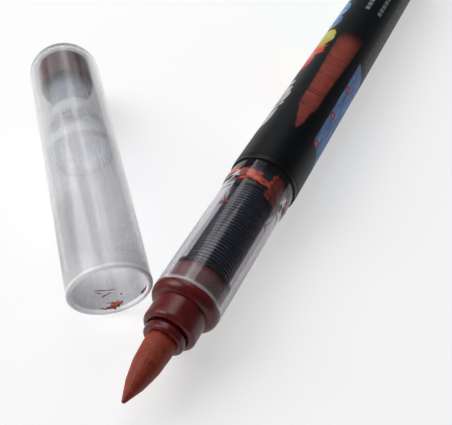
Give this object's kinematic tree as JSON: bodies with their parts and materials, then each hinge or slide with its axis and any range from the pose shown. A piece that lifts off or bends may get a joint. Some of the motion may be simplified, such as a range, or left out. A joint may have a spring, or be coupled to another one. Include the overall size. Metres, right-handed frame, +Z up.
{
  "type": "brush pen",
  "caption": "Free-ink brush pen with a clear front section, comb feed and pointed brush, lying on a surface beside its clear pull-off cap.",
  "frame": {"origin": "middle of the footprint of the pen and its cap, on the surface they lie on", "axes": "+Z up; +Y along the pen's axis, from the brush towards the tail plug; +X to the side away from the cap"},
  "size_m": [0.053, 0.14, 0.0124],
  "materials": {
    "barrel_black": "satin-gloss moulded black",
    "printed_film": null,
    "tail_black": "gloss moulded black",
    "section_clear": "clear polished",
    "holder_red": "gloss moulded dark red-brown",
    "brush_fibre": "ink-soaked fibre, matte",
    "seal_black": "smooth",
    "feed_black": "satin blue-black",
    "wick_fibre": "ink-soaked fibre",
    "bung_white": "natural moulded",
    "ink": "wet",
    "cap_clear": "clear with a slight haze",
    "cup_clear": "clear with a slight haze",
    "well_grey": "smoke grey",
    "plug_color": "gloss moulded dark red-brown"
  },
  "bodies": {
    "pen": {"barrel": "barrel_black", "print_film": "printed_film", "tail_plug": "tail_black", "clear_section": "section_clear", "nib_holder": "holder_red", "nib_sleeve": "holder_red", "brush_nib": "brush_fibre", "front_seal_ring": "seal_black", "feed_collector": "feed_black", "feed_core": "wick_fibre", "reservoir_bung": "bung_white", "ink_charge": "ink"},
    "cap": {"cap_shell": "cap_clear", "cap_seal_cup": "cup_clear", "cap_tip_well": "well_grey", "cap_color_plug": "plug_color"}
  },
  "joints": [
    {"name": "cap_pull", "type": "slide", "parent": "pen", "child": "cap", "axis": [-0.6639, 0.7478, 0], "range_m": [0, 0.03]}
  ]
}
